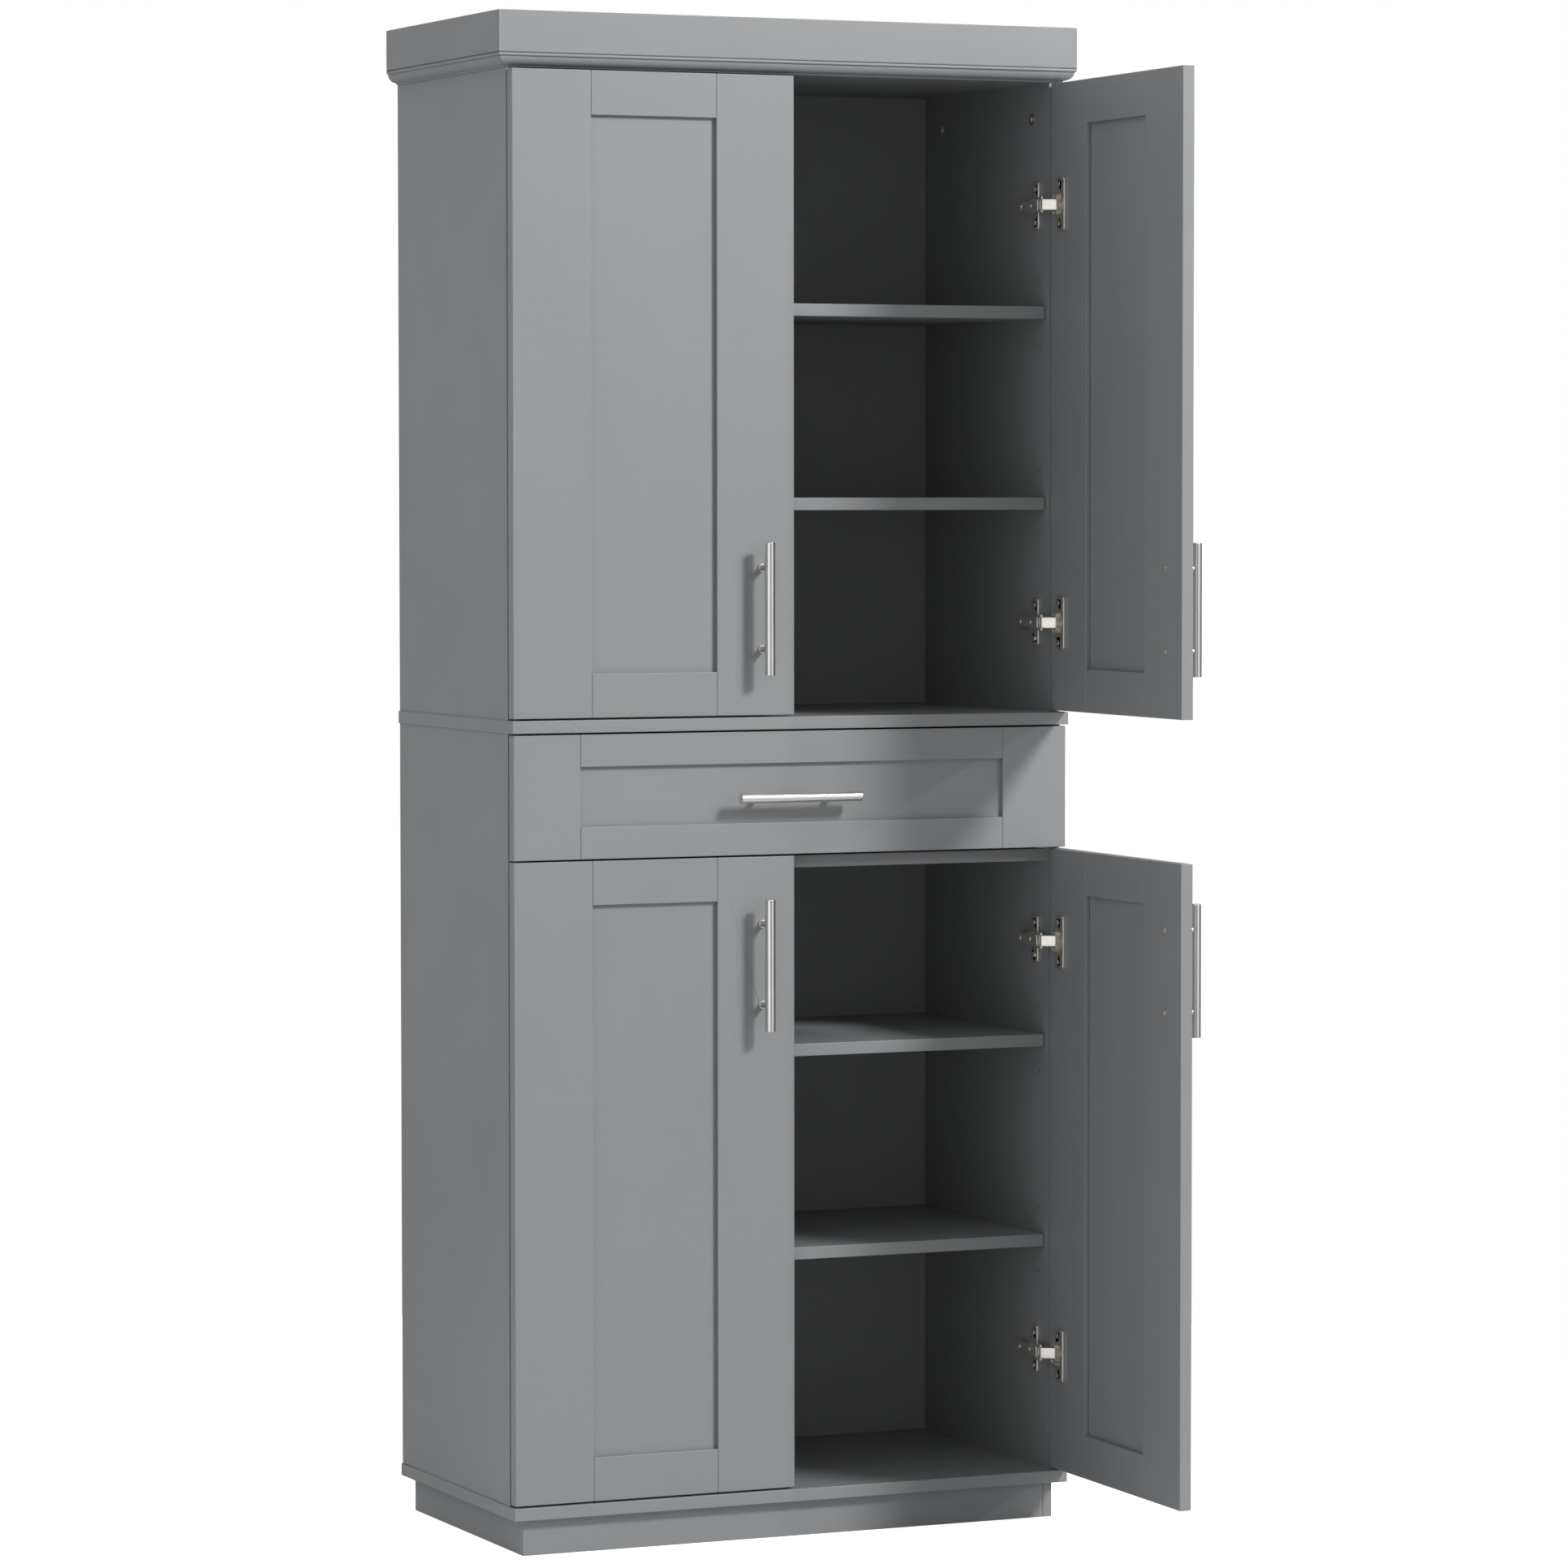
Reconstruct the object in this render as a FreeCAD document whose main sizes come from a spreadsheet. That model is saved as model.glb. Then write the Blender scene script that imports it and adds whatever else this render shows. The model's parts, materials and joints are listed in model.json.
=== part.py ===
import FreeCAD, Part
import os
import re
import Sketcher

# A tall free-standing pantry cabinet: two doors above, one wide drawer, two doors below.
#
# Frame: millimetres, +X to the right, +Y to the back, +Z up. The origin is on the floor, at the
# middle of the rear plinth board's underside. The left half of whatever is the same on both
# sides is built first, with the doors shut, and the right half is its mirror image. The two
# right-hand doors are then turned to their rest angle, which is open.

DIMENSIONS = {
    # carcass
    "carcass_width": 716,
    "carcass_depth": 359,
    "board": 15,
    "lower_height": 905,
    "upper_height": 757,
    "ledge_side": 2,
    "ledge_depth": 379,
    "deck_level": 797,
    "back_board": 3,
    "back_inset": 7,
    "housing": 5,
    # plinth
    "plinth_height": 43,
    "plinth_board": 12,
    "plinth_width": 690,
    "plinth_front": 366.5,
    "plinth_inset": 8,
    # crown
    "crown_height": 65,
    "crown_out": 15,
    "crown_rear": 1,
    "crown_lip": 2,
    "crown_round": 10.5,
    "crown_step": 2,
    "crown_bead": 3.5,
    "crown_groove": 0.6,
    # shelves and their pins
    "shelf_gap": 1,
    "shelf_setback": 9,
    "shelf_rear": 2,
    "upper_shelf_high": 1466.5,
    "upper_shelf_low": 1236.5,
    "lower_shelf_high": 586.5,
    "lower_shelf_low": 343,
    "pin_radius": 2.5,
    "pin_hold": 8,
    "pin_spare": 1,
    "pin_reach": 8,
    "pin_pocket": 9,
    "pin_pocket_half": 2.8,
    "pin_collar": 3.8,
    "pin_collar_length": 0.8,
    "pin_pitch": 39,
    "pin_front": 25,
    "pin_rear": 64,
    # cam locks and bolts at the upper end of each side panel
    "cam_radius": 7.5,
    "cam_depth": 12,
    "cam_distance": 42,
    "cam_front": 47,
    "cam_rear": 60,
    "cam_slot": 1.6,
    "bolt_radius": 3,
    "bolt_depth": 7,
    # screws from below into the lower end of each side panel
    "side_screw_front": 85,
    "side_screw_rear": 95,
    "side_screw_radius": 2.5,
    "side_screw_head": 5,
    "side_screw_sink": 3,
    "side_screw_hold": 35,
    # doors and drawer front
    "door_gap": 2,
    "door_thickness": 15,
    "door_height": 753,
    "door_edge": 0.5,
    "reveal": 2,
    "stile": 99,
    "rail": 52,
    "recess": 6,
    "panel": 3,
    "tongue": 8,
    "drawer_face_height": 146,
    "drawer_stile": 84,
    "drawer_rail": 38,
    "rest_angle": 88.7,
    # handles
    "bar_radius": 6,
    "bar_length": 156,
    "bar_end": 0.8,
    "post_radius": 3.7,
    "post_pitch": 96,
    "foot_radius": 4.7,
    "foot_thickness": 2,
    "bar_standoff": 25,
    "handle_from_middle": 43,
    "drawer_handle_drop": 5,
    "handle_above_upper": 126,
    "handle_below_lower": 127.5,
    "handle_screw": 1.9,
    "handle_screw_hold": 8,
    "handle_screw_head": 3.2,
    "head_thickness": 1.2,
    # concealed hinges
    "pivot_in": 6.2,
    "pivot_out": 10.8,
    "upper_hinge_low": 105.5,
    "upper_hinge_high": 608,
    "lower_hinge_low": 140,
    "lower_hinge_high": 641,
    "cup_radius": 17.5,
    "cup_wall": 1,
    "cup_depth": 11.5,
    "cup_inset": 22.5,
    "cup_flange": 18.7,
    "flange_thickness": 1.2,
    "mouth_height": 22,
    "wing_inset": 22,
    "wing_width": 21,
    "wing_thickness": 3.2,
    "wing_length": 64,
    "wing_round": 5,
    "cup_screw_inset": 29,
    "cup_screw_pitch": 48,
    "cup_screw_radius": 1.5,
    "cup_screw_head": 3.3,
    "cup_screw_hold": 8,
    "plate_setback": 32,
    "plate_wing_length": 58,
    "plate_wing_width": 18,
    "plate_wing": 3,
    "plate_rib": 4,
    "plate_rib_width": 15,
    "plate_rib_front": 22,
    "plate_rib_rear": 60,
    "plate_screw_pitch": 40,
    "plate_screw_radius": 1.8,
    "plate_screw_head": 3.6,
    "plate_screw_hold": 11,
    "arm_height": 13.6,
    "arm_thickness": 6.5,
    "arm_rear": 63,
    "arm_bend": 12,
    "nose_height": 17.8,
    "nose_rear": 34,
    "knuckle_in": 27,
    "knuckle_out": 5.3,
    "knuckle_radius": 2.3,
    "fork_gap": 13.4,
    "fork_reach": 14,
    "rivet_radius": 1,
    "rivet_length": 20.8,
    "link_height": 13,
    "link_thickness": 1.3,
    "link_eye": 2,
    "link_bore": 1.07,
    "link_neck_in": 26.8,
    "link_neck_out": 7.4,
    "link_bend_in": 9.9,
    "link_bend_out": 10.7,
    "link_tip_in": 9.7,
    "link_tip_out": 8.7,
    # degrees that a link turns, the other way, for each degree of its door
    "link_ratio": 0.2456,
    # drawer box
    "drawer_wall": 12,
    "drawer_wall_height": 105,
    "drawer_length": 318,
    "drawer_level": 832,
    "runner_space": 12.5,
    "drawer_floor_up": 10,
    # roller runners
    "runner_sheet": 1.2,
    "runner_length": 300,
    "runner_lift": 1,
    "runner_web": 24,
    "runner_flange": 11,
    "runner_lip": 3.2,
    "runner_setback": 5,
    "track_out": 9,
    "track_in": 12,
    "track_web": 16,
    "wheel_radius": 8,
    "wheel_width": 6,
    "wheel_bore": 2.06,
    "wheel_gap": 0.3,
    "wheel_edge": 1.2,
    "axle_radius": 2,
    "axle_head": 3,
    "axle_head_thickness": 0.6,
    "wheel_in": 4,
    "front_wheel_setback": 14,
    "rear_wheel_setback": 6,
    "wheel_tab": 20,
}

doc = FreeCAD.newDocument("PantryCabinet")
sheet = doc.addObject("Spreadsheet::Sheet", "Dims")
for row, (alias, size) in enumerate(DIMENSIONS.items(), start=1):
    sheet.set(f"A{row}", alias)
    sheet.set(f"B{row}", str(size))
    sheet.setAlias(f"B{row}", alias)
doc.recompute()

# Places that several pieces share, as expressions over the sheet's names.
REAR = "(plinth_inset + plinth_board / 2)"
FRONT = f"({REAR} - carcass_depth)"
SIDE_OUT = "(carcass_width / 2)"
SIDE_IN = "(carcass_width / 2 - board)"
BASE_TOP = "(plinth_height + board)"
WAIST = f"({BASE_TOP} + lower_height)"
WAIST_TOP = f"({WAIST} + board)"
TOP = f"({WAIST_TOP} + upper_height)"
BACK_FACE = f"({REAR} - back_inset - back_board)"
DOOR_BACK = f"({FRONT} - door_gap)"
DOOR_FACE = f"({DOOR_BACK} - door_thickness)"
DOOR_LEFT = f"(door_edge - {SIDE_OUT})"
DOOR_WIDTH = f"({SIDE_OUT} - door_edge - reveal / 2)"
UPPER_DOOR = f"({WAIST_TOP} + reveal)"
LOWER_DOOR = f"({BASE_TOP} + reveal)"
DRAWER_FACE = f"({LOWER_DOOR} + door_height + reveal)"
DECK_TOP = "(deck_level + board)"
WHEEL_AXIS = f"({DECK_TOP} + runner_lift + runner_sheet + wheel_gap + wheel_radius)"
WHEEL_LEFT = f"(wheel_in - {SIDE_IN})"
UPPER_HINGES = (f"({UPPER_DOOR} + upper_hinge_low)", f"({UPPER_DOOR} + upper_hinge_high)")
LOWER_HINGES = (f"({LOWER_DOOR} + lower_hinge_low)", f"({LOWER_DOOR} + lower_hinge_high)")
UPPER_SHELVES = ("upper_shelf_high", "upper_shelf_low")
LOWER_SHELVES = ("lower_shelf_high", "lower_shelf_low")
ALL_SHELVES = UPPER_SHELVES + LOWER_SHELVES
PIN_ROWS = (f"({FRONT} + pin_front)", f"({REAR} - pin_rear)")
CAM_ROWS = (f"({FRONT} + cam_front)", f"({REAR} - cam_rear)")
SIDE_SCREW_ROWS = (f"({FRONT} + side_screw_front)", f"({REAR} - side_screw_rear)")

# Smaller than any real size: the slack when edges are looked up by their level.
HAIR = 0.01

DIRECTIONS = {
    "+X": FreeCAD.Vector(1, 0, 0),
    "-X": FreeCAD.Vector(-1, 0, 0),
    "-Y": FreeCAD.Vector(0, -1, 0),
    "+Y": FreeCAD.Vector(0, 1, 0),
    "+Z": FreeCAD.Vector(0, 0, 1),
    "-Z": FreeCAD.Vector(0, 0, -1),
}

nodes = []


# ---- helpers -----------------------------------------------------------------------------

def value(alias):
    """A number from the sheet."""
    return float(getattr(sheet, alias))


def bind(thing, path, expression):
    """Tie one property to an expression over the sheet's names."""
    def qualified(match):
        word = match.group()
        return "Dims." + word if word in DIMENSIONS else word
    thing.setExpression(path, re.sub(r"[a-z_]+", qualified, expression))


def bind_place(thing, place):
    for axis, expression in zip("xyz", place):
        bind(thing, f"Placement.Base.{axis}", expression)


def box(name, size, corner):
    """A box from its low corner; size and corner are three expressions each."""
    made = doc.addObject("Part::Box", name)
    for side, expression in zip(("Length", "Width", "Height"), size):
        bind(made, side, expression)
    bind_place(made, corner)
    return made


def rod(name, radius, length, start, direction):
    """A round rod from the centre of its first end."""
    made = doc.addObject("Part::Cylinder", name)
    bind(made, "Radius", radius)
    bind(made, "Height", length)
    made.Placement.Rotation = FreeCAD.Rotation(DIRECTIONS["+Z"], DIRECTIONS[direction])
    bind_place(made, start)
    return made


def joined(name, pieces):
    """Several overlapping or touching pieces made one."""
    fused = doc.addObject("Part::MultiFuse", name)
    fused.Shapes = pieces
    return fused


def grouped(name, pieces):
    """Several pieces kept as separate solids."""
    made = doc.addObject("Part::Compound", name)
    made.Links = pieces
    return made


def carved(name, base, tools):
    """The base with every tool taken away."""
    made = doc.addObject("Part::Cut", name)
    made.Base = base
    made.Tool = tools[0] if len(tools) == 1 else joined(name + "Tools", tools)
    return made


def mirrored(name, source):
    """The right-hand twin of a left-hand piece."""
    made = doc.addObject("Part::Mirroring", name)
    made.Source = source
    made.Normal = DIRECTIONS["+X"]
    return made


def at_heights(name, master, heights):
    """Copies of one master, which is built at height zero."""
    copies = []
    for height in heights:
        copy = doc.addObject("App::Link", name + "Copy")
        copy.LinkedObject = master
        bind(copy, "Placement.Base.z", height)
        copies.append(copy)
    return grouped(name, copies)


def both_sides(name, left):
    """A left-hand group and its mirror image."""
    return grouped(name, [left, mirrored(name + "Right", left)])


def node(label, thing):
    """Names a finished sub-part; its label is its file's name."""
    thing.Label = label
    nodes.append(thing)
    return thing


def sketch_on(body, role, offset="0"):
    """An empty sketch on one of the body's own origin planes, moved along its normal."""
    plane = next(item for item in body.Origin.OriginFeatures if item.Role == role)
    sketch = body.newObject("Sketcher::SketchObject", body.Name + "Sketch")
    sketch.AttachmentSupport = (plane, [""])
    sketch.MapMode = "FlatFace"
    bind(sketch, "AttachmentOffset.Base.z", offset)
    return sketch


def outline(sketch, corners):
    """A closed straight-sided outline; each corner is a pair of expressions."""
    count = len(corners)
    # Rough corners on a parabola: distinct, and the constraints move them into place.
    rough = [FreeCAD.Vector(index, index * index, 0) for index in range(count)]
    for index in range(count):
        sketch.addGeometry(Part.LineSegment(rough[index], rough[(index + 1) % count]))
    for index in range(count):
        before = (index - 1) % count
        sketch.addConstraint(Sketcher.Constraint("Coincident", before, 2, index, 1))
    for index, corner in enumerate(corners):
        for kind, expression, start in zip(("DistanceX", "DistanceY"), corner, rough[index]):
            number = sketch.addConstraint(Sketcher.Constraint(kind, -1, 1, index, 1, start))
            bind(sketch, f"Constraints[{number}]", expression)


def circle(sketch, centre, radius):
    """A full circle; the centre is a pair of expressions."""
    sketch.addGeometry(Part.Circle(FreeCAD.Vector(1, 1, 0), FreeCAD.Vector(0, 0, 1), 1))
    geometry = sketch.GeometryCount - 1
    for kind, expression in zip(("DistanceX", "DistanceY"), centre):
        number = sketch.addConstraint(Sketcher.Constraint(kind, -1, 1, geometry, 3, 1))
        bind(sketch, f"Constraints[{number}]", expression)
    number = sketch.addConstraint(Sketcher.Constraint("Radius", geometry, 1))
    bind(sketch, f"Constraints[{number}]", radius)


def feature(body, kind, sketch, length, midplane=True):
    """A pad or pocket from a sketch, evenly to both sides unless told otherwise."""
    made = body.newObject("PartDesign::" + kind, body.Name + kind)
    made.Profile = sketch
    made.Midplane = midplane
    bind(made, "Length", length)
    return made


def body_named(name):
    return doc.addObject("PartDesign::Body", name)


# ---- plinth and carcass ------------------------------------------------------------------

def build_plinth():
    """The front board covers the left side's end, and the right side covers the front board's end."""
    inner_half = "(plinth_width / 2 - plinth_board)"
    front = f"({REAR} - plinth_front)"
    node("plinth_front", box(
        "PlinthFront", ("plinth_width - plinth_board", "plinth_board", "plinth_height"),
        ("-plinth_width / 2", front, "0")))
    node("plinth_back", box(
        "PlinthBack", (f"2 * {inner_half}", "plinth_board", "plinth_height"),
        (f"-{inner_half}", f"{REAR} - plinth_inset - plinth_board", "0")))
    left = box(
        "PlinthLeft", ("plinth_board", "plinth_front - plinth_inset - plinth_board", "plinth_height"),
        ("-plinth_width / 2", f"{front} + plinth_board", "0"))
    right = box(
        "PlinthRight", ("plinth_board", "plinth_front - plinth_inset", "plinth_height"),
        (inner_half, front, "0"))
    node("plinth_sides", grouped("PlinthSides", [left, right]))


def bolt_holes(name, level, direction):
    """Blind holes for the cam bolts in a horizontal board, on both sides."""
    left = grouped(name + "Left", [
        rod(name, "bolt_radius", "bolt_depth", (f"board / 2 - {SIDE_OUT}", row, level), direction)
        for row in CAM_ROWS])
    return [left, mirrored(name + "Right", left)]


def side_screws(name, board_top):
    """The left side panel's two screws, up through the board that it stands on and into its end."""
    screws = []
    for row in SIDE_SCREW_ROWS:
        place = (f"board / 2 - {SIDE_OUT}", row, f"{board_top} - board")
        shank = rod(name + "Shank", "side_screw_radius", "board + side_screw_hold", place, "+Z")
        head = rod(name + "Head", "side_screw_head", "side_screw_sink", place, "+Z")
        screws.append(joined(name, [shank, head]))
    return screws


def side_screw_holes(name, board_top):
    """The same screws' holes in a horizontal board, on both sides."""
    left = grouped(name + "Left", side_screws(name, board_top))
    return [left, mirrored(name + "Right", left)]


def build_horizontal_boards():
    ledge = (f"2 * ({SIDE_OUT} + ledge_side)", "ledge_depth", "board")
    ledge_corner = f"-{SIDE_OUT} - ledge_side"
    bottom = box("BottomBoard", ledge, (ledge_corner, f"{REAR} - ledge_depth", "plinth_height"))
    node("bottom_panel", carved("Bottom", bottom, side_screw_holes("BottomHole", BASE_TOP)))
    waist = box("WaistBoard", ledge, (ledge_corner, f"{REAR} - ledge_depth", WAIST))
    waist_holes = bolt_holes("WaistLowHole", WAIST, "+Z") + side_screw_holes("WaistHighHole", WAIST_TOP)
    node("waist_panel", carved("Waist", waist, waist_holes))
    top = box(
        "TopBoard", (f"2 * {SIDE_OUT}", "carcass_depth", "board"), (f"-{SIDE_OUT}", FRONT, TOP))
    node("top_panel", carved("Top", top, bolt_holes("TopHole", TOP, "+Z")))
    # The deck under the drawer is housed in a groove in each side panel.
    node("drawer_deck", box(
        "Deck", (f"2 * ({SIDE_IN} + housing)", f"{BACK_FACE} - {FRONT} - shelf_setback", "board"),
        (f"-{SIDE_IN} - housing", f"{FRONT} + shelf_setback", "deck_level")))


def side_panel(name, bottom, height, shelves, hinges):
    """The left side panel of one section, with everything that is machined into it."""
    board = box(name + "Board", ("board", "carcass_depth", height), (f"-{SIDE_OUT}", FRONT, bottom))
    tools = [box(
        name + "BackGroove", ("housing", "back_board", height),
        (f"-{SIDE_IN} - housing", BACK_FACE, bottom))]
    top = f"({bottom} + {height})"
    for row in CAM_ROWS:
        cam = rod(
            name + "Cam", "cam_radius", "cam_depth", (f"-{SIDE_IN}", row, f"{top} - cam_distance"), "-X")
        bolt = rod(
            name + "Bolt", "bolt_radius", "cam_distance", (f"board / 2 - {SIDE_OUT}", row, top), "-Z")
        tools.append(joined(name + "CamAndBolt", [cam, bolt]))
    tools += side_screws(name + "EndHole", bottom)
    for shelf in shelves:
        for row in PIN_ROWS:
            for step in (-1, 0, 1):
                level = f"{shelf} - board / 2 + {step} * pin_pitch"
                tools.append(rod(
                    name + "PinHole", "pin_radius", "pin_hold + pin_spare",
                    (f"-{SIDE_IN}", row, level), "-X"))
    for hinge in hinges:
        for side in (-1, 1):
            tools.append(rod(
                name + "PlateHole", "plate_screw_radius", "plate_screw_hold",
                (f"-{SIDE_IN}", f"{FRONT} + plate_setback", f"{hinge} + {side} * plate_screw_pitch / 2"),
                "-X"))
    return board, tools


def build_sides():
    lower_board, lower_tools = side_panel("LowerSide", BASE_TOP, "lower_height", LOWER_SHELVES, LOWER_HINGES)
    lower_tools.append(box(
        "DeckHousing", ("housing", f"{BACK_FACE} - {FRONT} - shelf_setback", "board"),
        (f"-{SIDE_IN} - housing", f"{FRONT} + shelf_setback", "deck_level")))
    upper_board, upper_tools = side_panel(
        "UpperSide", WAIST_TOP, "upper_height", UPPER_SHELVES, UPPER_HINGES)
    lower = node("lower_side_left", carved("LowerSide", lower_board, lower_tools))
    upper = node("upper_side_left", carved("UpperSide", upper_board, upper_tools))
    node("lower_side_right", mirrored("LowerSideRight", lower))
    node("upper_side_right", mirrored("UpperSideRight", upper))


def build_backs():
    width = f"2 * ({SIDE_IN} + housing)"
    corner = f"-{SIDE_IN} - housing"
    node("lower_back", box(
        "LowerBack", (width, "back_board", "lower_height"), (corner, BACK_FACE, BASE_TOP)))
    node("upper_back", box(
        "UpperBack", (width, "back_board", "upper_height"), (corner, BACK_FACE, WAIST_TOP)))


def build_fasteners():
    """Cam locks, the bolts that they pull and the screws from below, all on the left side first."""
    cams = []
    fasteners = side_screws("BaseScrew", BASE_TOP) + side_screws("WaistScrew", WAIST_TOP)
    for bottom, height in ((BASE_TOP, "lower_height"), (WAIST_TOP, "upper_height")):
        level = f"({bottom} + {height} - cam_distance)"
        for row in CAM_ROWS:
            disc = rod("CamDisc", "cam_radius", "cam_depth", (f"-{SIDE_IN}", row, level), "-X")
            slots = [
                box("CamSlot", ("2 * cam_slot", "cam_radius", "cam_slot"),
                    (f"-{SIDE_IN} - 1.5 * cam_slot", f"{row} - cam_radius / 2", f"{level} - cam_slot / 2")),
                box("CamSlot", ("2 * cam_slot", "cam_slot", "cam_radius"),
                    (f"-{SIDE_IN} - 1.5 * cam_slot", f"{row} - cam_slot / 2", f"{level} - cam_radius / 2")),
            ]
            cams.append(carved("CamLock", disc, slots))
            # The bolt runs from the cam's rim, out of the end of the side panel, into the next board.
            fasteners.append(rod(
                "CamBolt", "bolt_radius", "cam_distance - cam_radius + bolt_depth",
                (f"board / 2 - {SIDE_OUT}", row, f"{level} + cam_radius"), "+Z"))
    node("cam_locks", both_sides("CamLocks", grouped("CamLocksLeft", cams)))
    node("side_fasteners", both_sides("SideFasteners", grouped("SideFastenersLeft", fasteners)))


# ---- crown -------------------------------------------------------------------------------

def crown_section(sketch, inner):
    """Section of the crown board: flat fascia, fine groove, bead, step and quarter round."""
    lip_top = f"({TOP} + crown_lip)"
    step_level = f"({lip_top} + crown_round)"
    bead_level = f"({step_level} + crown_bead)"
    crown_top = f"({TOP} + crown_height)"
    outline(sketch, [(f"-{inner} - ({out})", level) for out, level in (
        ("0", TOP),
        ("crown_out - crown_step - crown_round", TOP),
        ("crown_out - crown_step - crown_round", lip_top),
        ("crown_out - crown_step", lip_top),
        ("crown_out - crown_step", step_level),
        ("crown_out", step_level),
        ("crown_out", bead_level),
        ("crown_out - crown_groove", bead_level),
        ("crown_out - crown_groove", f"{bead_level} + crown_groove"),
        ("crown_out", f"{bead_level} + crown_groove"),
        ("crown_out", crown_top),
        ("0", crown_top),
    )])


def round_under(body, along):
    """Rounds the crown's lower outer edge into its quarter round."""
    doc.recompute()
    base = body.Tip
    low = value("plinth_height") + 2 * value("board") + value("lower_height")
    level = low + value("upper_height") + value("crown_lip")
    names = []
    for number, edge in enumerate(base.Shape.Edges, start=1):
        extent = edge.BoundBox
        flat = abs(extent.ZMin - level) < HAIR and abs(extent.ZMax - level) < HAIR
        if flat and max(extent.XLength, extent.YLength) > value("carcass_depth") / 2:
            names.append((along(extent), f"Edge{number}"))
    made = body.newObject("PartDesign::Fillet", body.Name + "Round")
    made.Base = (base, [max(names)[1]])
    bind(made, "Radius", f"crown_round - {HAIR}")
    doc.recompute()


def build_crown():
    outer_half = f"({SIDE_OUT} + crown_out)"
    outer_front = f"({FRONT} - crown_out)"
    front = body_named("CrownFront")
    profile = sketch_on(front, "YZ_Plane")
    crown_section(profile, f"(-{FRONT})")
    feature(front, "Pad", profile, f"2 * {outer_half}")
    round_under(front, lambda extent: -extent.YMin)
    for side in ("-", ""):
        mitre = sketch_on(front, "XY_Plane", TOP)
        outline(mitre, [
            (f"{side}{outer_half}", outer_front),
            (f"{side}{outer_half}", FRONT),
            (f"{side}{SIDE_OUT}", FRONT),
        ])
        feature(front, "Pocket", mitre, "3 * crown_height")
    node("crown_front", front)

    left = body_named("CrownLeft")
    profile = sketch_on(left, "XZ_Plane", f"-{REAR} + crown_rear")
    crown_section(profile, SIDE_OUT)
    feature(left, "Pad", profile, "carcass_depth + crown_out - crown_rear", midplane=False)
    round_under(left, lambda extent: -extent.XMin)
    mitre = sketch_on(left, "XY_Plane", TOP)
    outline(mitre, [
        (f"-{outer_half}", outer_front),
        (f"-{SIDE_OUT}", outer_front),
        (f"-{SIDE_OUT}", FRONT),
    ])
    feature(left, "Pocket", mitre, "3 * crown_height")
    node("crown_left", left)
    node("crown_right", mirrored("CrownRight", left))


# ---- shelves -----------------------------------------------------------------------------

def build_shelves():
    pins = []
    half = f"({SIDE_IN} - shelf_gap)"
    for shelf in ALL_SHELVES:
        low = f"({shelf} - board)"
        middle = f"({shelf} - board / 2)"
        board = box(
            shelf.title().replace("_", ""),
            (f"2 * {half}", f"{BACK_FACE} - shelf_rear - {FRONT} - shelf_setback", "board"),
            (f"-{half}", f"{FRONT} + shelf_setback", low))
        pockets = [
            box("PinPocket", ("pin_pocket", "2 * pin_pocket_half", "board / 2 + pin_radius"),
                (f"-{half}", f"{row} - pin_pocket_half", low))
            for row in PIN_ROWS]
        left = grouped("PinPockets", pockets)
        node(shelf, carved("Shelf", board, [left, mirrored("PinPocketsRight", left)]))
        for row in PIN_ROWS:
            start = (f"-{SIDE_IN} - pin_hold", row, middle)
            shank = rod("PinShank", "pin_radius", "pin_hold + pin_reach", start, "+X")
            collar = rod("PinCollar", "pin_collar", "pin_collar_length", (f"-{SIDE_IN}", row, middle), "+X")
            pins.append(joined("Pin", [shank, collar]))
    node("shelf_pins", both_sides("ShelfPins", grouped("ShelfPinsLeft", pins)))


# ---- hinges ------------------------------------------------------------------------------

def inward(distance):
    """X of a point this far in from the left side panel's outer face."""
    return f"({distance} - {SIDE_OUT})"


def forward(distance):
    """Y of a point this far in front of the carcass."""
    return f"({FRONT} - ({distance}))"


def rounded_along(name, source, direction, radius):
    """The source with its edges along one direction rounded."""
    doc.recompute()
    wanted = DIRECTIONS[direction]
    edges = []
    for number, edge in enumerate(source.Shape.Edges, start=1):
        span = edge.Vertexes[-1].Point - edge.Vertexes[0].Point
        if span.Length > 0 and span.cross(wanted).Length < 0.001 * span.Length:
            edges.append((number, value(radius), value(radius)))
    made = doc.addObject("Part::Fillet", name)
    made.Base = source
    made.Edges = edges
    return made


def hinge_plate():
    """Mounting plate on the side panel's inner face, with its two screws."""
    wing = box(
        "PlateWing", ("plate_wing", "plate_wing_width", "plate_wing_length"),
        (f"-{SIDE_IN}", forward("-plate_setback + plate_wing_width / 2"), "-plate_wing_length / 2"))
    wing = rounded_along("PlateWingRound", wing, "+X", "wing_round")
    rib = box(
        "PlateRib", ("plate_rib", "plate_rib_rear - plate_rib_front", "plate_rib_width"),
        (f"-{SIDE_IN}", forward("-plate_rib_front"), "-plate_rib_width / 2"))
    holes = []
    screws = []
    for side in (-1, 1):
        level = f"{side} * plate_screw_pitch / 2"
        hole = (f"-{SIDE_IN} - plate_screw_hold", forward("-plate_setback"), level)
        length = "plate_screw_hold + plate_wing"
        holes.append(rod("PlateHole", "plate_screw_radius", length, hole, "+X"))
        shank = rod("PlateShank", "plate_screw_radius", length, hole, "+X")
        head = rod(
            "PlateScrewHead", "plate_screw_head", "head_thickness",
            (f"-{SIDE_IN} + plate_wing", forward("-plate_setback"), level), "+X")
        screws.append(joined("PlateScrew", [shank, head]))
    plate = carved("Plate", joined("PlateBlank", [wing, rib]), holes)
    return grouped("PlateAndScrews", [plate] + screws)


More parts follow.
